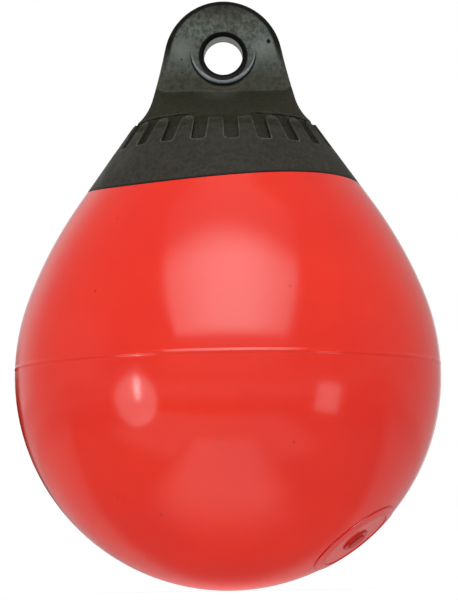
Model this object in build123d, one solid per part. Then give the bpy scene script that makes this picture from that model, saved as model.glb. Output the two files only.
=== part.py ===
from build123d import *
import os
from math import cos, hypot, radians, sin, tan

os.makedirs("parts", exist_ok=True)

# Anchor buoy: an inflated vinyl bladder, round below and drawn in to a cone above,
# closed at the top by a moulded end with a rope eye.
# Heights called z are measured along the axis from the centre of the bladder's round lower half.
# The eye's hole runs along Y. At export everything is lifted so that z = 0 is the water surface.

# Bladder
girth_r = 190.5
draft = 77.0
wall = 2.8
low_shoulder_r = 200.0
low_shoulder_turn = 21.3
high_shoulder_r = 382.0
cone_half_angle = 35.1

# Mould parting ridge round the bladder
ridge_z = 8.5
ridge_bead_r = 6.0
ridge_stand = 0.1

# Skirt of the moulded end, lapped into a rebate of the bladder, with an edge that rises and dips
skirt_thick = 8.0
edge_mean_z = 166.1
edge_swing = 4.75
edge_high_azimuth = -37.5
neck_top_z = 215.0
neck_round = 9.0
lap_foot_z = 128.0

# Crown of slots round the top of the cone, with a ledge at the foot of the neck
crown_z = 225.0
ledge_r = 78.4
slot_count = 21
slot_first_azimuth = -86.3
slot_width = 12.6
slot_length = 29.0
slot_over = 5.0
slot_depth = 4.0
slot_round = 3.0
rib_round = 5.2

# Tab with the rope eye, thinner in its web than round the eye
head_z = 286.9
head_r = 53.6
head_low_angle = 12.0
waist_z = 250.8
waist_r = 64.6
tab_thick = 36.0
tab_round = 8.0
web_inset = 6.5
web_slope = 12.0
web_ease_r = 30.0
scoop_r = 3.0
scoop_fall = 25.0
scoop_rim_y = 83.3
scoop_rim_z = 222.5

# Eye: a bore with rounded mouths inside a lip that stands out of the web below it
eye_z = 289.3
eye_r = 17.5
eye_mouth_round = 4.5
lip_z = 292.3
lip_r = 29.0
lip_round = 3.4

# Valve pad low on the bladder
pad_azimuth = -18.5
pad_drop = 52.0
pad_r = 44.0
pad_stand = 0.8
pad_dish_r = 34.0
pad_floor = 187.5
pad_inside = 180.0
pad_inside_r = 36.0
pad_round = 0.5

# Valve seat, seal and screw plug
flange_r = 13.0
flange_thick = 1.2
barrel_r = 9.0
barrel_end = 171.0
plug_bore_r = 5.2
seal_r = 7.4
seal_depth = 0.8
plug_head_r = 8.4
plug_head_thick = 1.8
plug_shank_r = 5.0
plug_shank_length = 15.0
driver_slot_width = 1.8
driver_slot_depth = 1.3


def on_arc(centre, radius, angle):
    return (centre[0] + radius * cos(radians(angle)), centre[1] + radius * sin(radians(angle)))


def turned(outline):
    """Solid of revolution about Z from a closed outline of radius and height, its seam at the back."""
    return revolve(Plane.YZ * make_face(outline), Axis.Z)


# Main lines of the bladder's half section
low_centre = (girth_r - low_shoulder_r, 0)
low_end = on_arc(low_centre, low_shoulder_r, low_shoulder_turn)
high_centre = on_arc(low_end, high_shoulder_r, low_shoulder_turn + 180)
cone_start = on_arc(high_centre, high_shoulder_r, cone_half_angle)


def cone_point(z, inset=0.0):
    """Point of the cone's half section at height z, moved in square to its surface by inset."""
    r = cone_start[0] - (z - cone_start[1]) * tan(radians(cone_half_angle))
    return (r - inset / cos(radians(cone_half_angle)), z)


def bladder_arcs(inset, high_angle):
    """The round lower half and the two shoulder arcs, moved in by inset."""
    return [
        CenterArc((0, 0), girth_r - inset, -90, 90),
        CenterArc(low_centre, low_shoulder_r - inset, 0, low_shoulder_turn),
        CenterArc(high_centre, high_shoulder_r - inset, low_shoulder_turn, high_angle - low_shoulder_turn),
    ]


# Outer form of the bladder up to the crown
crown_edge = cone_point(crown_z)
outer_form = turned(
    bladder_arcs(0, cone_half_angle)
    + [Polyline(cone_start, crown_edge, (0, crown_z), (0, -girth_r))]
)

# Neck of the bladder inside the skirt
neck_low = cone_point(lap_foot_z, skirt_thick)
neck_high = cone_point(neck_top_z, skirt_thick)
neck_form = turned(
    [Polyline((0, lap_foot_z), neck_low, neck_high, (0, neck_top_z), (0, lap_foot_z))]
)
neck_form = fillet(neck_form.edges().group_by(Axis.Z)[-1], neck_round)

# Air space, stepped in under the lap
lap_angle = cone_half_angle - 4.0
lap_low = on_arc(high_centre, high_shoulder_r - wall, lap_angle)
lap_high = cone_point(lap_low[1] + skirt_thick + 16.0, skirt_thick + wall)
air_top_z = neck_top_z - wall
air_high = cone_point(air_top_z, skirt_thick + wall)
air_form = turned(
    bladder_arcs(wall, lap_angle)
    + [Polyline(lap_low, lap_high, air_high, (0, air_top_z), (0, wall - girth_r))]
)
air_form = fillet(air_form.edges().group_by(Axis.Z)[-1], neck_round - wall)

# The skirt's edge lies on a wide level cylinder, so that it is high along its axis and low across it
edge_radius_mean = cone_point(edge_mean_z)[0]
trim_r = edge_radius_mean**2 / (4 * edge_swing)
trim_axis = Plane(
    origin=(0, 0, edge_mean_z + edge_swing - trim_r),
    z_dir=(cos(radians(edge_high_azimuth)), sin(radians(edge_high_azimuth)), 0),
)
below_edge = trim_axis * Cylinder(trim_r, 4 * girth_r)

# Valve pad: its axis goes out through the round lower half
pad_axis = Plane(
    origin=(0, 0, 0),
    z_dir=(
        cos(radians(pad_azimuth)) * cos(radians(pad_drop)),
        sin(radians(pad_azimuth)) * cos(radians(pad_drop)),
        -sin(radians(pad_drop)),
    ),
)


def along_pad(radius, start, end):
    """Cylinder on the pad's axis between two distances from the bladder's centre."""
    return pad_axis * Pos(0, 0, start) * Cylinder(
        radius, end - start, align=(Align.CENTER, Align.CENTER, Align.MIN)
    )


pad_form = along_pad(pad_r, pad_inside, 2 * girth_r) & Rot(0, 0, 90) * Sphere(girth_r + pad_stand)
dish = along_pad(pad_dish_r, pad_floor, 2 * girth_r)

# Bladder
ridge = turned([CenterArc((girth_r + ridge_stand - ridge_bead_r, ridge_z), ridge_bead_r, 0, 360)])
bladder = (outer_form & below_edge) + neck_form + ridge + pad_form
bladder = bladder - dish - along_pad(barrel_r, 0, 2 * girth_r)
bladder = bladder - (air_form - along_pad(pad_inside_r, pad_inside, 2 * girth_r))


def is_pad_rim(edge):
    """True for the two circles at the top of the pad's raised ring."""
    on_ring = min(abs(edge.radius - pad_r), abs(edge.radius - pad_dish_r)) < 0.01
    return on_ring and edge.arc_center.length > pad_floor + pad_round


bladder = fillet(bladder.edges().filter_by(GeomType.CIRCLE).filter_by(is_pad_rim), pad_round)

# Moulded end: a bell turned from one half section
head_low = on_arc((0, head_z), head_r, head_low_angle)
head_low_tangent = (sin(radians(head_low_angle)), -cos(radians(head_low_angle)))
flank = TangentArc(head_low, (waist_r, waist_z), tangent=head_low_tangent)
waist = TangentArc((waist_r, waist_z), crown_edge, tangent=flank % 1)
bell = turned(
    [
        Polyline((0, lap_foot_z), cone_point(lap_foot_z), crown_edge),
        waist,
        flank,
        CenterArc((0, head_z), head_r, head_low_angle, 90 - head_low_angle),
        Line((0, head_z + head_r), (0, lap_foot_z)),
    ]
)

# Half section of a scoop: down the face, eased in to the sloping web, round and out over the crown
far = 2 * girth_r
face_y = tab_thick / 2
web_y = face_y - web_inset
floor_y = web_y + scoop_r * (cos(radians(web_slope)) - sin(radians(scoop_fall)))
floor_z = scoop_rim_z + (scoop_rim_y - floor_y) * tan(radians(scoop_fall))
web_z = floor_z + scoop_r * (cos(radians(scoop_fall)) + sin(radians(web_slope)))
ease_inset = web_ease_r * (1 - cos(radians(web_slope)))
ease_end = (face_y - ease_inset, web_z + (web_inset - ease_inset) / tan(radians(web_slope)))
face_z = ease_end[1] + web_ease_r * sin(radians(web_slope))
web_ease = TangentArc((face_y, face_z), ease_end, tangent=(0, -1))
web_line = Line(ease_end, (web_y, web_z))
scoop_round = TangentArc((web_y, web_z), (floor_y, floor_z), tangent=web_line % 1)
floor_far = (far, floor_z - (far - floor_y) * tan(radians(scoop_fall)))
scoop_face = make_face(
    [
        Line((face_y, far), (face_y, face_z)),
        web_ease,
        web_line,
        scoop_round,
        Polyline((floor_y, floor_z), floor_far, (far, far), (face_y, far)),
    ]
)

# The lip round the eye is left standing when the bell is scooped
lip_drum = Cylinder(lip_r, tab_thick)
lip_drum = fillet(lip_drum.edges().filter_by(GeomType.CIRCLE), lip_round)
lip = Pos(0, 0, lip_z) * Rot(90, 0, 0) * lip_drum
scoop = extrude(Plane.YZ * scoop_face, far / 2, both=True) - lip
eye_end = bell - scoop - mirror(scoop, Plane.XZ)


def is_tab_rim(edge):
    """True for the curved edges where a scoop leaves the bell, and not for those of the lip."""
    middle = edge @ 0.5
    outside_lip = hypot(middle.X, middle.Z - lip_z) > lip_r + lip_round
    on_scoop = abs(edge.center().Y) > web_y / 1.2 and edge.center().Z > neck_top_z
    return edge.geom_type != GeomType.LINE and outside_lip and on_scoop


eye_end = fillet(eye_end.edges().filter_by(is_tab_rim), tab_round)

# Ledge round the neck, eye with rounded mouths, skirt edge and the seat on the bladder's neck
ledge = Pos(0, 0, crown_z) * (
    Cylinder(girth_r, far, align=(Align.CENTER, Align.CENTER, Align.MIN))
    - Cylinder(ledge_r, far, align=(Align.CENTER, Align.CENTER, Align.MIN))
)
ledge = ledge & Pos(0, 0, crown_z) * Box(far, far, 2 * (waist_z - crown_z))
eye = Pos(0, 0, eye_z) * Rot(90, 0, 0) * Cylinder(eye_r, far)
eye_end = eye_end - ledge - eye


def is_eye_mouth(edge):
    return edge.geom_type == GeomType.CIRCLE and abs(edge.radius - eye_r) < 0.01


eye_end = fillet(eye_end.edges().filter_by(is_eye_mouth), eye_mouth_round)
eye_end = eye_end - below_edge - neck_form

# Slots cut into the cone from the crown down
slot_plane = Plane(
    origin=(crown_edge[0], 0, crown_edge[1]),
    x_dir=(sin(radians(cone_half_angle)), 0, -cos(radians(cone_half_angle))),
    z_dir=(cos(radians(cone_half_angle)), 0, sin(radians(cone_half_angle))),
)
slot_face = Pos((slot_length - slot_over) / 2, 0) * RectangleRounded(
    slot_length + slot_over, slot_width, slot_round
)
# Each slot flares at its open end, so that the ribs left between the slots have rounded tops
rib_side = slot_width / 2 + rib_round
flare = Pos((rib_round - slot_over) / 2, 0) * Rectangle(rib_round + slot_over, 2 * rib_side)
flare = flare - Pos(rib_round, rib_side) * Circle(rib_round) - Pos(rib_round, -rib_side) * Circle(rib_round)
slot_face = slot_face + flare
slot = slot_plane * Pos(0, 0, -slot_depth) * extrude(slot_face, 4 * slot_depth)
eye_end = eye_end - [Rot(0, 0, slot_first_azimuth + 360 / slot_count * i) * slot for i in range(slot_count)]

# Valve
seat = along_pad(flange_r, pad_floor, pad_floor + flange_thick) + along_pad(barrel_r, barrel_end, pad_floor)
seat = seat - along_pad(plug_bore_r, 0, far)
flange_top = pad_floor + flange_thick
seal_ring = along_pad(seal_r, flange_top - seal_depth, flange_top)
seat = seat - seal_ring
seal = seal_ring - along_pad(plug_bore_r, 0, far)
plug = along_pad(plug_head_r, flange_top, flange_top + plug_head_thick)
plug = plug + along_pad(plug_shank_r, flange_top - plug_shank_length, flange_top)
driver_slot = pad_axis * Pos(0, 0, flange_top + plug_head_thick) * Box(
    4 * plug_head_r, driver_slot_width, 2 * driver_slot_depth
)
plug = plug - driver_slot

nodes = {
    "bladder": bladder,
    "eye_end": eye_end,
    "valve_seat": seat,
    "valve_seal": seal,
    "valve_plug": plug,
}
for name, shape in nodes.items():
    export_step(Pos(0, 0, girth_r - draft) * shape, f"parts/{name}.step")
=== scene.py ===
import math

import bpy
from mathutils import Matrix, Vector


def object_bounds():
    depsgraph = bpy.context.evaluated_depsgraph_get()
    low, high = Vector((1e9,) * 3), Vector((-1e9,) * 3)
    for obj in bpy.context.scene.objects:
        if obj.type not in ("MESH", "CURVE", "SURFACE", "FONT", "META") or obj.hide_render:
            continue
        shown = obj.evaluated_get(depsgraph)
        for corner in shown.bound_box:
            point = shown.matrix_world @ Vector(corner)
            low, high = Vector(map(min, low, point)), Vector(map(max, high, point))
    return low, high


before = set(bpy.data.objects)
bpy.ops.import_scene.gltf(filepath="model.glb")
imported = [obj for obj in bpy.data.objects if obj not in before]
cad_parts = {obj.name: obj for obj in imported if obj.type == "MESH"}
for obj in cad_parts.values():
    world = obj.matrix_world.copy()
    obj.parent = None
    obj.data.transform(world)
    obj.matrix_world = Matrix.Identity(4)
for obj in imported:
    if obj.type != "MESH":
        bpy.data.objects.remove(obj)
cad_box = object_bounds()

# Bladder
# The float itself is a hollow bag of soft red vinyl, moulded in one piece and blown tight through its
# valve. The mould leaves a glossy skin with a faint orange peel, a few flecks and a parting ridge.
bladder_red = (0.765, 0.026, 0.010, 1.0)
bladder_red_deep = (0.72, 0.020, 0.009, 1.0)
bladder_fleck_red = (0.48, 0.014, 0.010, 1.0)
pad_shade_red = (0.64, 0.003, 0.010, 1.0)
vinyl_ior = 1.53
bladder_roughness = (0.11, 0.17)
bladder_bump_depth = 0.0004
bladder_skin_scales = {"Cloud Scale": 9.0, "Peel Scale": 420.0, "Fleck Scale": 55.0}
bladder_middle = (0.0, 0.0, 0.1135)
ridge_height = 0.1214
ridge_upper = 0.0030
ridge_lower = 0.0022
ridge_relief = 0.90
pad_azimuth = math.radians(-18.5)
pad_drop = math.radians(52.0)
pad_inner_line = (0.0327, 0.0349)
pad_outer_line = (0.0428, 0.0448)
pad_line_soft = 0.0006
pad_outward = (0.10, 0.12)
skin_cloud_tones = (0.32, 0.68)
skin_fleck_size = (0.05, 0.10)
skin_fleck_chance = (0.72, 0.80)
skin_fleck_depth = 0.10
skin_peel_height = 0.05
skin_wave_height = 0.9


def feed(tree, node, feeds):
    """Fills a node's inputs with values or with other nodes' outputs."""
    for socket, value in feeds.items():
        if isinstance(value, bpy.types.NodeSocket):
            tree.links.new(value, node.inputs[socket])
        else:
            node.inputs[socket].default_value = value


def put(tree, kind, feeds=None, **settings):
    """Adds a node with its settings and fills its inputs."""
    made = tree.nodes.new(kind)
    for setting, value in settings.items():
        setattr(made, setting, value)
    feed(tree, made, feeds or {})
    return made


def ramp(tree, value, start, end, low=0.0, high=1.0):
    """A smooth step of a value from low at start to high at end."""
    feeds = {"Value": value, "From Min": start, "From Max": end, "To Min": low, "To Max": high}
    return put(tree, "ShaderNodeMapRange", feeds, interpolation_type="SMOOTHSTEP").outputs["Result"]


def sums(tree, work, first, second=0.0):
    """One sum of one or two values."""
    return put(tree, "ShaderNodeMath", {0: first, 1: second}, operation=work).outputs["Value"]


def both(tree, first, second):
    """The share that two masks have in common, or a part of one value."""
    return sums(tree, "MULTIPLY", first, second)


def way_sums(tree, work, result, *ways):
    """One sum of directions, which gives a direction or a value."""
    return put(tree, "ShaderNodeVectorMath", dict(enumerate(ways)), operation=work).outputs[result]


def tint(tree, share, first, second):
    """The first colour, gone over to the second by a share."""
    feeds = {"Factor": share, "A": first, "B": second}
    return put(tree, "ShaderNodeMix", feeds, data_type="RGBA").outputs["Result"]


def band(tree, value, low, high, soft):
    """One between two values and nothing outside them, with soft ends."""
    return both(tree, ramp(tree, value, low - soft, low), ramp(tree, value, high + soft, high))


def new_finish(name):
    """A new material, with its node tree and its shader."""
    made = bpy.data.materials.new(name)
    made.use_nodes = True
    return made, made.node_tree, made.node_tree.nodes["Principled BSDF"]


# The moulded skin that all the vinyl shares: clouds of tone, sunk flecks, fine peel and slow waves
skin = bpy.data.node_groups.new("moulded vinyl skin", "ShaderNodeTree")
for socket_name in ("Cloud Scale", "Peel Scale", "Fleck Scale"):
    skin.interface.new_socket(socket_name, in_out="INPUT", socket_type="NodeSocketFloat")
for socket_name in ("Cloud", "Fleck", "Relief"):
    skin.interface.new_socket(socket_name, in_out="OUTPUT", socket_type="NodeSocketFloat")
skin_in = skin.nodes.new("NodeGroupInput")
skin_out = skin.nodes.new("NodeGroupOutput")
skin_place = put(skin, "ShaderNodeTexCoord").outputs["Object"]
cloud = put(skin, "ShaderNodeTexNoise", {"Vector": skin_place, "Scale": skin_in.outputs["Cloud Scale"],
                                         "Detail": 4.0, "Roughness": 0.55})
cloud_share = ramp(skin, cloud.outputs["Fac"], *skin_cloud_tones)
cells = put(skin, "ShaderNodeTexVoronoi", {"Vector": skin_place, "Scale": skin_in.outputs["Fleck Scale"]})
spot = ramp(skin, cells.outputs["Distance"], *skin_fleck_size, 1.0, 0.0)
few = put(skin, "ShaderNodeSeparateColor", {"Color": cells.outputs["Color"]})
chosen = ramp(skin, few.outputs["Red"], *skin_fleck_chance)
fleck = both(skin, spot, chosen)
peel = put(skin, "ShaderNodeTexNoise", {"Vector": skin_place, "Scale": skin_in.outputs["Peel Scale"],
                                        "Detail": 2.0, "Roughness": 0.5})
waves = put(skin, "ShaderNodeTexNoise", {"Vector": skin_place, "Scale": 14.0, "Detail": 1.0})
fine = both(skin, peel.outputs["Fac"], skin_peel_height)
slow = both(skin, waves.outputs["Fac"], skin_wave_height)
sunk = both(skin, fleck, skin_fleck_depth)
relief = sums(skin, "SUBTRACT", sums(skin, "ADD", fine, slow), sunk)
feed(skin, skin_out, {"Cloud": cloud_share, "Fleck": fleck, "Relief": relief})

red_vinyl, red_tree, red_shader = new_finish("red glossy vinyl")
red_skin = put(red_tree, "ShaderNodeGroup", bladder_skin_scales, node_tree=skin)
red_tone = tint(red_tree, red_skin.outputs["Cloud"], bladder_red, bladder_red_deep)
red_flecked = tint(red_tree, red_skin.outputs["Fleck"], red_tone, bladder_fleck_red)
red_place = put(red_tree, "ShaderNodeTexCoord").outputs["Object"]

# Painted shade: deep red lines round the valve's pad, where its steps meet
pad_way = (math.cos(pad_azimuth) * math.cos(pad_drop), math.sin(pad_azimuth) * math.cos(pad_drop),
           -math.sin(pad_drop))
pad_from = way_sums(red_tree, "SUBTRACT", "Vector", red_place, bladder_middle)
pad_cross = way_sums(red_tree, "CROSS_PRODUCT", "Vector", pad_from, pad_way)
pad_reach = way_sums(red_tree, "LENGTH", "Value", pad_cross)
pad_along = way_sums(red_tree, "DOT_PRODUCT", "Value", pad_from, pad_way)
pad_inner = band(red_tree, pad_reach, *pad_inner_line, pad_line_soft)
pad_outer = band(red_tree, pad_reach, *pad_outer_line, pad_line_soft)
pad_rings = sums(red_tree, "MAXIMUM", pad_inner, pad_outer)
pad_shade_lines = both(red_tree, pad_rings, ramp(red_tree, pad_along, *pad_outward))
red_lined = tint(red_tree, pad_shade_lines, red_flecked, pad_shade_red)
red_gloss = ramp(red_tree, red_skin.outputs["Cloud"], 0.0, 1.0, *bladder_roughness)

# Rounded sides that the moulding leaves on the parting ridge
red_height = put(red_tree, "ShaderNodeSeparateXYZ", {"Vector": red_place}).outputs["Z"]
ridge_over = ramp(red_tree, red_height, ridge_height + ridge_upper, ridge_height, 0.0, ridge_relief)
ridge_under = ramp(red_tree, red_height, ridge_height - ridge_lower, ridge_height)
ridge_form = both(red_tree, ridge_over, ridge_under)
red_relief = sums(red_tree, "ADD", red_skin.outputs["Relief"], ridge_form)
red_bump = put(red_tree, "ShaderNodeBump", {"Height": red_relief, "Strength": 1.0,
                                            "Distance": bladder_bump_depth})
feed(red_tree, red_shader, {"IOR": vinyl_ior, "Base Color": red_lined, "Roughness": red_gloss,
                            "Normal": red_bump.outputs["Normal"]})
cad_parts["bladder"].data.materials[0] = red_vinyl

# Eye end
# A thick moulding of black vinyl welded round the narrow end of the bag, with the rope eye through its
# flattened tab. Dust with a painted sheen lies on the tab's faces, beside painted highlights on its
# cheeks. Rub with painted highlights pales the lip and the ribs' edges, a painted highlight lies in an
# arc below the lip, and rub with painted light pales the eye's tunnel. Painted shade darkens the tab's
# edge, the shoulders, the slots of the crown, the eye's mouth and crease and the skirt's edge.
end_pit_black = (0.005, 0.005, 0.004, 1.0)
end_specular = 0.10
end_roughness = (0.42, 0.62)
end_dull_amount = 0.30
end_bump_depth = 0.0011
end_skin_scales = {"Cloud Scale": 26.0, "Peel Scale": 520.0, "Fleck Scale": 110.0}
end_mottle_grain = {"Scale": 260.0, "Detail": 6.0, "Roughness": 0.75}
end_patch_grain = {"Scale": 45.0, "Detail": 5.0, "Roughness": 0.65}


def reach(tree, across, up):
    """The distance of a point from the middle, from its two offsets."""
    pair = put(tree, "ShaderNodeCombineXYZ", {"X": across, "Y": up}).outputs["Vector"]
    return way_sums(tree, "LENGTH", "Value", pair)


def rest(tree, share):
    """What a share leaves over."""
    return sums(tree, "SUBTRACT", 1.0, share)


black_vinyl, black_tree, black_shader = new_finish("black satin vinyl")
black_skin = put(black_tree, "ShaderNodeGroup", end_skin_scales, node_tree=skin)
black_coords = put(black_tree, "ShaderNodeTexCoord")
black_place = black_coords.outputs["Object"]
black_axes = put(black_tree, "ShaderNodeSeparateXYZ", {"Vector": black_place})
black_side = black_axes.outputs["X"]
black_depth = black_axes.outputs["Y"]
black_height = black_axes.outputs["Z"]
black_facing = put(black_tree, "ShaderNodeSeparateXYZ", {"Vector": black_coords.outputs["Normal"]})
black_flat = sums(black_tree, "ABSOLUTE", black_facing.outputs["Y"])
black_off = sums(black_tree, "ABSOLUTE", black_side)
black_in = sums(black_tree, "ABSOLUTE", black_depth)
mottle = put(black_tree, "ShaderNodeTexNoise", {"Vector": black_place, **end_mottle_grain}).outputs["Fac"]
patches = put(black_tree, "ShaderNodeTexNoise", {"Vector": black_place, **end_patch_grain}).outputs["Fac"]

# Plain tones: the skirt, the web above it, dust with a painted sheen on the tab, painted highlights on
# its cheeks and painted shade on its edge
skirt_black = (0.037, 0.034, 0.026, 1.0)
web_black = (0.062, 0.064, 0.048, 1.0)
web_heights = (0.336, 0.350)
tab_dust_and_sheen = (0.110, 0.125, 0.109, 1.0)
dust_foot_heights = (0.378, 0.402)
dust_top_heights = (0.446, 0.424)
tab_face_facing = (0.70, 0.98)
dust_patch_tones = (0.30, 0.62)
dust_patch_least = 0.35
cheek_highlight_grey = (0.31, 0.33, 0.325, 1.0)
cheek_side = 0.037
cheek_height = 0.4085
cheek_fade = (0.018, 0.001)
cheek_mottle_tones = (0.38, 0.66)
tab_edge_shade_black = (0.006, 0.006, 0.005, 1.0)
edge_facing = (0.995, 0.85)
edge_heights = (0.390, 0.415)
edge_top_heights = (0.434, 0.452)
edge_top_most = 0.7
web_share = ramp(black_tree, black_height, *web_heights)
web_tone = tint(black_tree, web_share, skirt_black, web_black)
# Dust with a painted sheen on the tab's faces, fading away towards the tab's top
dust_foot = ramp(black_tree, black_height, *dust_foot_heights)
dust_top = ramp(black_tree, black_height, *dust_top_heights)
dust_rise = both(black_tree, dust_foot, dust_top)
tab_face_flat = ramp(black_tree, black_flat, *tab_face_facing)
dust_patches = ramp(black_tree, patches, *dust_patch_tones, dust_patch_least, 1.0)
dust_sheen_share = both(black_tree, both(black_tree, dust_rise, tab_face_flat), dust_patches)
dust_sheen_tone = tint(black_tree, dust_sheen_share, web_tone, tab_dust_and_sheen)
# Painted highlights on the tab's cheeks beside the eye
cheek_across = sums(black_tree, "SUBTRACT", black_off, cheek_side)
cheek_up = sums(black_tree, "SUBTRACT", black_height, cheek_height)
cheek_reach = reach(black_tree, cheek_across, cheek_up)
cheek_share = both(black_tree, ramp(black_tree, cheek_reach, *cheek_fade), tab_face_flat)
cheek_rough = both(black_tree, cheek_share, ramp(black_tree, mottle, *cheek_mottle_tones))
cheek_tone = tint(black_tree, cheek_rough, dust_sheen_tone, cheek_highlight_grey)
# Painted shade along the tab's rounded edges and its top
edge_round = ramp(black_tree, black_flat, *edge_facing)
edge_top = ramp(black_tree, black_height, *edge_top_heights, 0.0, edge_top_most)
edge_turn = sums(black_tree, "MAXIMUM", edge_round, edge_top)
edge_shade_share = both(black_tree, ramp(black_tree, black_height, *edge_heights), edge_turn)
tab_tone = tint(black_tree, edge_shade_share, cheek_tone, tab_edge_shade_black)

# Painted shade on the upward-facing shoulders: a brown-black, lighter in their middle
shoulder_shade_brown = (0.028, 0.027, 0.016, 1.0)
shoulder_facing = (0.0, 0.35)
shoulder_heights = (0.330, 0.3735)
shoulder_soft = 0.002
shade_gap_shift = 0.004
shade_gap_fade = (0.026, 0.0)
shade_gap_heights = (0.356, 0.370)
shade_gap_most = 0.8
shoulder_flat = ramp(black_tree, black_facing.outputs["Z"], *shoulder_facing)
shoulder_rise = band(black_tree, black_height, *shoulder_heights, shoulder_soft)
shoulder_up = both(black_tree, shoulder_flat, shoulder_rise)
shade_gap_off = sums(black_tree, "ABSOLUTE", sums(black_tree, "ADD", black_side, shade_gap_shift))
shade_gap_side = ramp(black_tree, shade_gap_off, *shade_gap_fade)
shade_gap_share = both(black_tree, shade_gap_side, ramp(black_tree, black_height, *shade_gap_heights, 0.0, shade_gap_most))
shoulder_shade_share = both(black_tree, shoulder_up, rest(black_tree, shade_gap_share))
shoulder_tone = tint(black_tree, shoulder_shade_share, tab_tone, shoulder_shade_brown)

# Crown of slots: painted shade inside them, and rub with painted highlights on the edges and ends round
# them
slot_shade = (0.014, 0.014, 0.010, 1.0)
rib_rub_and_highlight = (0.085, 0.082, 0.066, 1.0)
crown_height = 0.3385
crown_radius = 0.0832
crown_slant = math.radians(35.1)
crown_soft = 0.0008
slot_count = 21
slot_first = math.radians(-86.3)
slot_half_width = 0.0063
slot_corner = 0.0030
slot_length = 0.0290
slot_end_height = 0.3125
slot_depths = (0.0006, 0.0022)
slot_shade_most = 0.45
rub_ring_gap = (0.0, 0.0008)
rub_ring_soft = 0.0007
rub_end_down = (0.020, 0.027)
rub_end_least = 0.55
rub_top_down = (0.0075, 0.001)
rub_top_most = 0.6
rub_top_gap = (0.0, 0.001)
rub_depths = (0.0012, 0.0004)
rub_patch_tones = (0.30, 0.58)
rub_patch_least = 0.25
slot_pitch = 2 * math.pi / slot_count
slot_middle = 0.5
turn = sums(black_tree, "SUBTRACT", sums(black_tree, "ARCTAN2", black_depth, black_side), slot_first)
turn_count = sums(black_tree, "ADD", sums(black_tree, "DIVIDE", turn, slot_pitch), slot_middle)
turn_share = sums(black_tree, "FRACT", turn_count)
slot_turn = both(black_tree, sums(black_tree, "SUBTRACT", turn_share, slot_middle), slot_pitch)
cone_reach = reach(black_tree, black_side, black_depth)
slot_across = both(black_tree, cone_reach, sums(black_tree, "SINE", slot_turn))
slot_off = sums(black_tree, "ABSOLUTE", slot_across)
below_crown = sums(black_tree, "SUBTRACT", crown_height, black_height)
slot_down = sums(black_tree, "DIVIDE", below_crown, math.cos(crown_slant))
past_side = sums(black_tree, "SUBTRACT", slot_off, slot_half_width - slot_corner)
slot_wide = sums(black_tree, "MAXIMUM", past_side, 0.0)
past_end = sums(black_tree, "SUBTRACT", slot_down, slot_length - slot_corner)
slot_long = sums(black_tree, "MAXIMUM", past_end, 0.0)
slot_gap = sums(black_tree, "SUBTRACT", reach(black_tree, slot_wide, slot_long), slot_corner)
cone_more = both(black_tree, below_crown, math.tan(crown_slant))
cone_wide = sums(black_tree, "ADD", cone_more, crown_radius)
cone_sunk = sums(black_tree, "SUBTRACT", cone_wide, cone_reach)
crown_share = band(black_tree, black_height, slot_end_height, crown_height, crown_soft)
# Painted shade deep in the slots
slot_sunk = ramp(black_tree, cone_sunk, *slot_depths, 0.0, slot_shade_most)
slot_shade_share = both(black_tree, slot_sunk, crown_share)
slot_tone = tint(black_tree, slot_shade_share, shoulder_tone, slot_shade)
# Rub with painted highlights along the slots' edges and ends and the ribs' tops
rub_ring = band(black_tree, slot_gap, *rub_ring_gap, rub_ring_soft)
rub_end = ramp(black_tree, slot_down, *rub_end_down, rub_end_least, 1.0)
rub_high = ramp(black_tree, slot_down, *rub_top_down, 0.0, rub_top_most)
rub_top = both(black_tree, rub_high, ramp(black_tree, slot_gap, *rub_top_gap))
rub_and_highlight_edges = sums(black_tree, "MAXIMUM", both(black_tree, rub_ring, rub_end), rub_top)
rub_outer = both(black_tree, ramp(black_tree, cone_sunk, *rub_depths), crown_share)
rub_patches = ramp(black_tree, patches, *rub_patch_tones, rub_patch_least, 1.0)
rub_and_highlight_share = both(black_tree, both(black_tree, rub_and_highlight_edges, rub_outer), rub_patches)
crown_tone = tint(black_tree, rub_and_highlight_share, slot_tone, rib_rub_and_highlight)

# Mottle and pale specks all over
speck_pale = (0.065, 0.065, 0.055, 1.0)
mottle_heights = (0.385, 0.410)
mottle_depths = (0.40, 0.65)
mottle_tones = (0.40, 0.62)
speck_scale = 150.0
speck_size = (0.16, 0.08)
speck_chance = (0.70, 0.80)
speck_most = 0.6
mottle_depth = ramp(black_tree, black_height, *mottle_heights, *mottle_depths)
mottle_share = both(black_tree, ramp(black_tree, mottle, *mottle_tones), mottle_depth)
mottled = tint(black_tree, mottle_share, crown_tone, end_pit_black)
speck_cells = put(black_tree, "ShaderNodeTexVoronoi", {"Vector": black_place, "Scale": speck_scale})
speck_few = put(black_tree, "ShaderNodeSeparateColor", {"Color": speck_cells.outputs["Color"]})
speck_spot = ramp(black_tree, speck_cells.outputs["Distance"], *speck_size)
speck_chosen = ramp(black_tree, speck_few.outputs["Green"], *speck_chance)
speck_share = both(black_tree, speck_spot, speck_chosen)
specked = tint(black_tree, both(black_tree, speck_share, speck_most), mottled, speck_pale)

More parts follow.
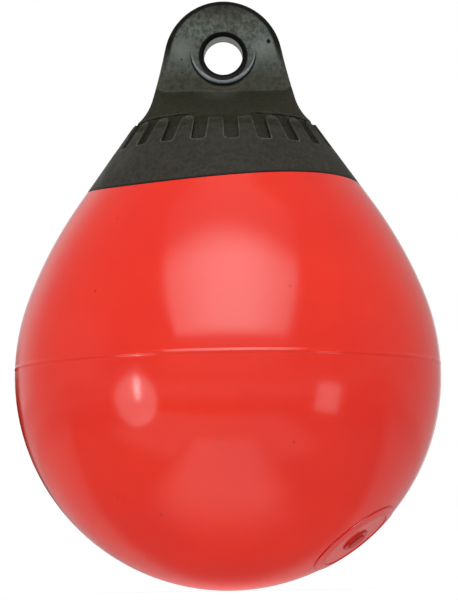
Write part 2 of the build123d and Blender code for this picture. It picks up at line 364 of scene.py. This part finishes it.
# Rope eye: painted shade in the mouth and the crease, rub with painted light in the tunnel, rub with a
# painted highlight on the lip and a painted highlight in the faint arc below
painted_shade_black = (0.003, 0.003, 0.003, 1.0)
lip_rub_and_highlight = (0.33, 0.36, 0.38, 1.0)
arc_highlight = (0.110, 0.100, 0.060, 1.0)
tunnel_rub_and_light = (0.62, 0.63, 0.62, 1.0)
eye_height = 0.4028
mouth_fade = (0.0226, 0.0216)
mouth_drop = 0.0011
tunnel_depths = (0.0130, 0.0110)
tunnel_fade = (0.0186, 0.0180)
lip_height = 0.4058
lip_low_rise = (0.004, -0.012)
lip_outer_fade = (0.0292, 0.0284)
lip_inner_fade = (0.0282, 0.0292)
lip_inner_rise = 0.0032
lip_mottle_tones = (0.30, 0.60)
lip_mottle_least = 0.65
crease_reach = (0.0290, 0.0300)
crease_soft = 0.0007
arc_reach = (0.0318, 0.0328)
arc_soft = 0.0008
arc_rise = (-0.024, -0.031)
arc_most = 0.6
eye_rise = sums(black_tree, "SUBTRACT", black_height, eye_height)
eye_reach = reach(black_tree, black_side, eye_rise)
mouth_reach = reach(black_tree, black_side, sums(black_tree, "ADD", eye_rise, mouth_drop))
lip_rise = sums(black_tree, "SUBTRACT", black_height, lip_height)
lip_reach = reach(black_tree, black_side, lip_rise)
lip_low = ramp(black_tree, lip_rise, *lip_low_rise)
# Painted shade in the crease round the lip
crease_shade_ring = band(black_tree, lip_reach, *crease_reach, crease_soft)
crease_tone = tint(black_tree, both(black_tree, crease_shade_ring, lip_low), specked, painted_shade_black)
# Painted highlight in a faint arc below the lip
arc_ring = band(black_tree, lip_reach, *arc_reach, arc_soft)
arc_highlight_share = both(black_tree, arc_ring, ramp(black_tree, lip_rise, *arc_rise, 0.0, arc_most))
arc_tone = tint(black_tree, arc_highlight_share, crease_tone, arc_highlight)
# Rub with a painted highlight on the lower half of the lip
lip_upper = reach(black_tree, black_side, sums(black_tree, "SUBTRACT", lip_rise, lip_inner_rise))
lip_outer = ramp(black_tree, lip_reach, *lip_outer_fade)
lip_inner = ramp(black_tree, lip_upper, *lip_inner_fade)
lip_ring = both(black_tree, lip_outer, lip_inner)
lip_patches = ramp(black_tree, mottle, *lip_mottle_tones, 1.0, lip_mottle_least)
lip_rub_highlight_share = both(black_tree, both(black_tree, lip_ring, lip_low), lip_patches)
lip_tone = tint(black_tree, lip_rub_highlight_share, arc_tone, lip_rub_and_highlight)
# Painted shade in the eye's mouth
mouth_shade_share = ramp(black_tree, mouth_reach, *mouth_fade)
mouth_tone = tint(black_tree, mouth_shade_share, lip_tone, painted_shade_black)
# Rub with painted light on the inside of the eye's tunnel
tunnel_share = ramp(black_tree, black_in, *tunnel_depths)
tunnel_inside = both(black_tree, tunnel_share, ramp(black_tree, eye_reach, *tunnel_fade))
eye_tone = tint(black_tree, tunnel_inside, mouth_tone, tunnel_rub_and_light)

# Moulding pits in the front of the tab, each with its side, height and radius
tab_pits = ((0.041, 0.4145, 0.0025), (-0.003, 0.4482, 0.0014), (0.004, 0.4470, 0.0011))
tab_front_depths = (0.0, -0.004)
front_share = ramp(black_tree, black_depth, *tab_front_depths)
pit_share = black_skin.outputs["Fleck"]
for pit_side, pit_height, pit_radius in tab_pits:
    pit_across = sums(black_tree, "SUBTRACT", black_side, pit_side)
    pit_up = sums(black_tree, "SUBTRACT", black_height, pit_height)
    pit_reach = reach(black_tree, pit_across, pit_up)
    pit_round = ramp(black_tree, pit_reach, pit_radius, pit_radius / 2)
    pit_share = sums(black_tree, "MAXIMUM", pit_share, both(black_tree, pit_round, front_share))
pitted = tint(black_tree, pit_share, eye_tone, end_pit_black)

# Painted shade: a dark line at the skirt's edge, which follows a wide round cut
skirt_edge_top = -0.5332
skirt_trim_radius = 0.8175
skirt_trim_side = (0.609, 0.793)
skirt_line_width = 0.0028
across_x = both(black_tree, black_side, skirt_trim_side[0])
across_y = both(black_tree, black_depth, skirt_trim_side[1])
across = sums(black_tree, "ADD", across_x, across_y)
across_square = both(black_tree, across, across)
edge_square = sums(black_tree, "SUBTRACT", skirt_trim_radius ** 2, across_square)
edge_height = sums(black_tree, "ADD", sums(black_tree, "SQRT", edge_square), skirt_edge_top)
above_edge = sums(black_tree, "SUBTRACT", black_height, edge_height)
lined = tint(black_tree, ramp(black_tree, above_edge, skirt_line_width, 0.0), pitted, painted_shade_black)

# Satin gloss, duller on the shoulders, the tab's faces and the tab's edge
black_gloss = ramp(black_tree, black_skin.outputs["Cloud"], 0.0, 1.0, *end_roughness)
dulled_spread = sums(black_tree, "MAXIMUM", shoulder_shade_share, dust_sheen_share)
dulled_most = sums(black_tree, "MAXIMUM", dulled_spread, edge_shade_share)
black_dull = sums(black_tree, "ADD", black_gloss, both(black_tree, dulled_most, end_dull_amount))
black_bump = put(black_tree, "ShaderNodeBump", {"Height": black_skin.outputs["Relief"], "Strength": 1.0,
                                                "Distance": end_bump_depth})
feed(black_tree, black_shader, {"IOR": vinyl_ior, "Specular IOR Level": end_specular, "Base Color": lined,
                                "Roughness": black_dull, "Normal": black_bump.outputs["Normal"]})
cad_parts["eye_end"].data.materials[0] = black_vinyl

# Valve
# A stout red vinyl seat is welded into the pad low on the side, and a red nylon plug screws into it
# on a rubber ring. A coin or a screwdriver turns the plug.
seat_red = (0.62, 0.020, 0.010, 1.0)
seat_red_deep = (0.50, 0.014, 0.009, 1.0)
plug_red = (0.50, 0.016, 0.010, 1.0)
plug_worn = (0.62, 0.045, 0.030, 1.0)
seal_black = (0.010, 0.010, 0.010, 1.0)
seal_bloom = (0.035, 0.036, 0.038, 1.0)
valve_flecks = 160.0


def moulded(name, colour, other, clouds, peels, roughness, bump_depth):
    """A plain moulded finish: two tones in clouds, with the shared skin's relief."""
    made, tree, shader = new_finish(name)
    scales = {"Cloud Scale": clouds, "Peel Scale": peels, "Fleck Scale": valve_flecks}
    surface = put(tree, "ShaderNodeGroup", scales, node_tree=skin)
    bump = put(tree, "ShaderNodeBump", {"Height": surface.outputs["Relief"], "Strength": 1.0,
                                        "Distance": bump_depth})
    shade = ramp(tree, surface.outputs["Cloud"], 0.0, 1.0, *roughness)
    tone = tint(tree, surface.outputs["Cloud"], colour, other)
    feed(tree, shader, {"Base Color": tone, "Roughness": shade, "Normal": bump.outputs["Normal"]})
    return made


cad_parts["valve_seat"].data.materials[0] = moulded(
    "valve seat vinyl", seat_red, seat_red_deep,
    clouds=60.0, peels=600.0, roughness=(0.28, 0.40), bump_depth=0.0004)
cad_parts["valve_seal"].data.materials[0] = moulded(
    "valve ring rubber", seal_black, seal_bloom,
    clouds=180.0, peels=900.0, roughness=(0.65, 0.85), bump_depth=0.0002)
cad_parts["valve_plug"].data.materials[0] = moulded(
    "valve plug nylon", plug_red, plug_worn,
    clouds=240.0, peels=1100.0, roughness=(0.35, 0.50), bump_depth=0.0002)

# Floor
# A plain sheet of pale board that the float stands on for its picture. It glows a little, unseen by the
# camera, so that the underside and the gloss aren't lost, and runs out to plain white further off.
floor_size = 14.0
floor_roughness = 0.9
floor_specular = 0.1
floor_tone = (0.60, 0.60, 0.60, 1.0)
floor_gloss_tone = (0.30, 0.30, 0.30, 1.0)
floor_far_tone = (0.20, 0.20, 0.20, 1.0)
floor_far_reach = (0.34, 0.75)
plain_white = (1.0, 1.0, 1.0, 1.0)


def seen_white(tree, path, behind):
    """One for the rays that see plain white: the camera's, through glass, and straight back in gloss."""
    gloss = both(tree, path.outputs["Is Glossy Ray"], behind)
    clear = sums(tree, "MAXIMUM", path.outputs["Is Transmission Ray"], gloss)
    return sums(tree, "MAXIMUM", path.outputs["Is Camera Ray"], clear)


bpy.ops.object.select_all(action="DESELECT")
bpy.ops.mesh.primitive_plane_add(size=floor_size, location=(0.0, 0.0, cad_box[0][2]))
bpy.ops.object.transform_apply(location=True, rotation=True, scale=True)
floor = bpy.context.object
floor.name = "floor"
board, board_tree, board_shader = new_finish("pale board")
board_place = put(board_tree, "ShaderNodeTexCoord").outputs["Object"]
board_axes = put(board_tree, "ShaderNodeSeparateXYZ", {"Vector": board_place})
board_reach = way_sums(board_tree, "LENGTH", "Value", board_place)
board_side = board_axes.outputs["X"]
board_depth = board_axes.outputs["Y"]
board_out = ramp(board_tree, board_reach, *floor_far_reach)
board_path = put(board_tree, "ShaderNodeLightPath")
board_glossy = board_path.outputs["Is Glossy Ray"]
board_near = tint(board_tree, board_glossy, floor_tone, floor_gloss_tone)
board_tone = tint(board_tree, board_out, board_near, floor_far_tone)


def glow_field(middle, half, depths, soft, level):
    """A soft oblong of glow on the floor."""
    off = sums(board_tree, "ABSOLUTE", sums(board_tree, "SUBTRACT", board_side, middle))
    wide = ramp(board_tree, off, *half, 0.0, level)
    return both(board_tree, wide, band(board_tree, board_depth, *depths, soft))


# Glow in front that only the gloss shows: a bright patch and a wide strip before it
patch_glow = glow_field(middle=-0.012, half=(0.13, 0.05), depths=(-0.31, -0.195), soft=0.10, level=0.87)
strip_glow = glow_field(middle=-0.08, half=(0.36, 0.24), depths=(-0.48, -0.28), soft=0.06, level=0.35)
field_glow = both(board_tree, sums(board_tree, "MAXIMUM", patch_glow, strip_glow), board_glossy)

# Soft glow round the float and under it, which the gloss doesn't show
ring_inner = (0.07, 0.20)
ring_depths = (-0.25, 0.05)
ring_levels = (0.52, 0.10)
sole_fade = (0.12, 0.05)
sole_level = 0.55
ring_rise = ramp(board_tree, board_reach, *ring_inner)
ring_fall = ramp(board_tree, board_reach, floor_far_reach[1], floor_far_reach[0])
ring_level = ramp(board_tree, board_depth, *ring_depths, *ring_levels)
ring_glow = both(board_tree, both(board_tree, ring_rise, ring_fall), ring_level)
sole_glow = ramp(board_tree, board_reach, *sole_fade, 0.0, sole_level)
lower_glow = sums(board_tree, "ADD", ring_glow, sole_glow)
soft_glow = both(board_tree, lower_glow, rest(board_tree, board_glossy))

# Glow close to the foot, dulled in a ring for the gloss
foot_fade = (0.20, 0.07)
foot_level = 0.48
foot_dull_reach = (0.075, 0.16)
foot_dull_soft = 0.035
foot_dull_share = 0.75
foot_glow = ramp(board_tree, board_reach, *foot_fade, 0.0, foot_level)
foot_ring = band(board_tree, board_reach, *foot_dull_reach, foot_dull_soft)
foot_dull = both(board_tree, foot_ring, foot_dull_share)
foot_kept = rest(board_tree, both(board_tree, foot_dull, board_glossy))
open_glow = sums(board_tree, "ADD", field_glow, soft_glow)
near_glow = sums(board_tree, "ADD", open_glow, both(board_tree, foot_glow, foot_kept))

# Glow behind and far off, with a dark field behind on the left
back_depths = (-0.06, -0.02)
back_level = 0.25
back_fade = (1.0, 0.5)
far_depths = (-0.1, 0.9)
far_levels = (0.09, 0.36)
far_front_depths = (-0.4, -1.0)
far_front_level = 0.24
far_rise = (0.5, 1.0)
flag_turn = (-0.46, -0.12)
flag_soft = 0.10
flag_depths = (0.7, 1.1)
back_rise = ramp(board_tree, board_depth, *back_depths, 0.0, back_level)
back_glow = both(board_tree, back_rise, ramp(board_tree, board_reach, *back_fade))
far_back = ramp(board_tree, board_depth, *far_depths, *far_levels)
far_front = ramp(board_tree, board_depth, *far_front_depths, 0.0, far_front_level)
far_level = sums(board_tree, "ADD", far_back, far_front)
far_glow = both(board_tree, far_level, ramp(board_tree, board_reach, *far_rise))
board_turn = sums(board_tree, "DIVIDE", board_side, board_depth)
board_dark = band(board_tree, board_turn, *flag_turn, flag_soft)
board_flag = both(board_tree, board_dark, ramp(board_tree, board_depth, *flag_depths))
board_unflagged = rest(board_tree, board_flag)
away_glow = both(board_tree, sums(board_tree, "ADD", back_glow, far_glow), board_unflagged)
board_unseen = rest(board_tree, board_path.outputs["Is Camera Ray"])
board_glow = both(board_tree, sums(board_tree, "ADD", near_glow, away_glow), board_unseen)
feed(board_tree, board_shader, {"Base Color": board_tone, "Roughness": floor_roughness,
                                "Specular IOR Level": floor_specular, "Emission Color": plain_white,
                                "Emission Strength": board_glow})

# Plain white past the shadow, for the camera and for what the gloss shows straight behind
white_behind = (0.93, 1.0)
white_reach = (0.20, 0.42)
white_side = 2.2
board_straight = sums(board_tree, "DIVIDE", board_depth, board_reach)
board_behind = both(board_tree, ramp(board_tree, board_straight, *white_behind), board_unflagged)
board_seen = seen_white(board_tree, board_path, board_behind)
board_span = reach(board_tree, both(board_tree, board_side, white_side), board_depth)
board_open = ramp(board_tree, board_span, *white_reach)
board_shown = both(board_tree, board_seen, board_open)
board_white = put(board_tree, "ShaderNodeEmission", {"Color": plain_white, "Strength": 1.0})
board_mix = put(board_tree, "ShaderNodeMixShader", {0: board_shown, 1: board_shader.outputs[0],
                                                    2: board_white.outputs[0]})
feed(board_tree, board_tree.nodes["Material Output"], {"Surface": board_mix.outputs[0]})
floor.data.materials.append(board)

# Studio light
# A wide soft light hangs in front above the float, strongest in its middle and fading towards its top and
# sides. Low lamps left and right show only in the gloss, two fills only in the soft light, and the room
# is white behind and grey in front.
front_light_size = (1.90, 1.92)
front_light_reach = 1.6
front_light_side = 0.08
front_light_rise = math.radians(46.6)
front_light_aim = 0.15
front_light_power = 42.0
front_light_middle = 0.5
front_light_across = (0.06, 0.5)
front_light_edge = 0.5
front_light_high = (0.56, 0.76)
front_light_top = 0.13
front_light_low = (0.0, 0.07)
front_light_foot = 0.35


def soft_light(name, shape, size, place, aim, power):
    """An area light that looks at a point and that the camera doesn't see."""
    data = bpy.data.lights.new(name, "AREA")
    data.shape = shape
    data.size = size[0]
    data.size_y = size[1]
    data.energy = power
    lamp = bpy.data.objects.new(name, data)
    lamp.location = place
    lamp.rotation_euler = (Vector(aim) - Vector(place)).to_track_quat("-Z", "Y").to_euler()
    lamp.visible_camera = False
    bpy.context.scene.collection.objects.link(lamp)
    return lamp


front_light_place = (front_light_side, -front_light_reach * math.cos(front_light_rise),
                     front_light_aim + front_light_reach * math.sin(front_light_rise))
front_light = soft_light("front light", "RECTANGLE", front_light_size, front_light_place,
                         (front_light_side, 0.0, front_light_aim), front_light_power)
front_light.data.use_nodes = True
front_tree = front_light.data.node_tree
front_spread = put(front_tree, "ShaderNodeNewGeometry").outputs["Parametric"]
front_axes = put(front_tree, "ShaderNodeSeparateXYZ", {"Vector": front_spread})
front_from = sums(front_tree, "SUBTRACT", front_axes.outputs["X"], front_light_middle)
front_off = sums(front_tree, "ABSOLUTE", front_from)
front_across = ramp(front_tree, front_off, *front_light_across, 1.0, front_light_edge)
front_rise = ramp(front_tree, front_axes.outputs["Y"], *front_light_high, 1.0, front_light_top)
front_low = ramp(front_tree, front_axes.outputs["Y"], *front_light_low, front_light_foot, 1.0)
front_up = both(front_tree, front_rise, front_low)
front_strength = both(front_tree, front_across, front_up)
feed(front_tree, front_tree.nodes["Emission"], {"Strength": front_strength})

left_lamp = soft_light("left lamp", "ELLIPSE", size=(0.14, 0.155), place=(-0.267, -0.324, 0.027),
                       aim=(-0.076, -0.172, 0.081), power=0.093)
left_bulb = soft_light("left bulb", "ELLIPSE", size=(0.011, 0.070), place=(-0.257, -0.328, 0.064),
                       aim=(-0.076, -0.173, 0.093), power=0.030)
right_lamp = soft_light("right lamp", "RECTANGLE", size=(0.075, 0.082), place=(0.284, -0.306, 0.029),
                        aim=(0.083, -0.168, 0.083), power=0.031)
for low_lamp in (left_lamp, left_bulb, right_lamp):
    low_lamp.visible_diffuse = False
left_fill = soft_light("left fill", "RECTANGLE", size=(1.0, 1.0), place=(-1.5, -0.1, 0.30),
                       aim=(0.0, 0.0, 0.15), power=8.2)
right_fill = soft_light("right fill", "RECTANGLE", size=(1.0, 1.0), place=(1.5, 0.1, 0.30),
                        aim=(0.0, 0.0, 0.15), power=4.8)
for side_fill in (left_fill, right_fill):
    side_fill.visible_glossy = False

# The room: lighter behind and low in front, with the floor's dark field carried on up the wall
room_level = 0.35
room_back_way = (0.2, 0.7)
room_back_level = 0.45
room_left_way = (-0.1, -0.5)
room_left_level = 0.25
room_left_back = (0.5, 0.85)
room_front_way = (-0.75, -0.95)
room_front_level = 0.19
room_front_rise = (0.30, 0.18)
room_flag_rise = (0.16, 0.04)
room_flag_back = (0.5, 0.7)
room = bpy.data.worlds.new("white room")
room.use_nodes = True
bpy.context.scene.world = room
room_tree = room.node_tree
room_tree.nodes.clear()
room_way = put(room_tree, "ShaderNodeTexCoord").outputs["Generated"]
room_axes = put(room_tree, "ShaderNodeSeparateXYZ", {"Vector": room_way})
room_x = room_axes.outputs["X"]
room_y = room_axes.outputs["Y"]
room_z = room_axes.outputs["Z"]
room_left = ramp(room_tree, room_x, *room_left_way, 0.0, room_left_level)
room_turned = ramp(room_tree, room_y, *room_left_back)
room_fore = ramp(room_tree, room_y, *room_front_way, 0.0, room_front_level)
room_front = both(room_tree, room_fore, ramp(room_tree, room_z, *room_front_rise))
room_more = sums(room_tree, "ADD", both(room_tree, room_left, room_turned), room_front)
room_back = ramp(room_tree, room_y, *room_back_way, room_level, room_back_level)
room_turn = sums(room_tree, "DIVIDE", room_x, room_y)
room_flag_low = ramp(room_tree, room_z, *room_flag_rise)
room_low = both(room_tree, room_flag_low, ramp(room_tree, room_y, *room_flag_back))
room_flag = both(room_tree, band(room_tree, room_turn, *flag_turn, flag_soft), room_low)
room_unflagged = rest(room_tree, room_flag)
room_strength = both(room_tree, sums(room_tree, "ADD", room_more, room_back), room_unflagged)
room_light = put(room_tree, "ShaderNodeBackground", {"Color": plain_white, "Strength": room_strength})
room_white = put(room_tree, "ShaderNodeBackground", {"Color": plain_white, "Strength": 1.0})
room_path = put(room_tree, "ShaderNodeLightPath")
room_behind = both(room_tree, ramp(room_tree, room_y, *white_behind), room_unflagged)
room_seen = seen_white(room_tree, room_path, room_behind)
room_mix = put(room_tree, "ShaderNodeMixShader", {0: room_seen, 1: room_light.outputs[0],
                                                  2: room_white.outputs[0]})
put(room_tree, "ShaderNodeOutputWorld", {"Surface": room_mix.outputs[0]})

# Camera
# A long lens a few steps back, with the camera on the floor and tipped up a little.
camera_back = 2.6
camera_side = 0.0019
camera_lift = 0.0003
camera_tip = math.radians(5.7015)
camera_roll = math.radians(-0.872)
camera_lens = 174.58
camera_data = bpy.data.cameras.new("camera")
camera_data.lens = camera_lens
camera = bpy.data.objects.new("camera", camera_data)
camera.location = (camera_side, -camera_back, cad_box[0][2] + camera_lift)
camera.rotation_mode = "ZYX"
camera.rotation_euler = (math.pi / 2 + camera_tip, 0.0, camera_roll)
bpy.context.scene.collection.objects.link(camera)
bpy.context.scene.camera = camera
bpy.context.scene.view_settings.view_transform = "Standard"
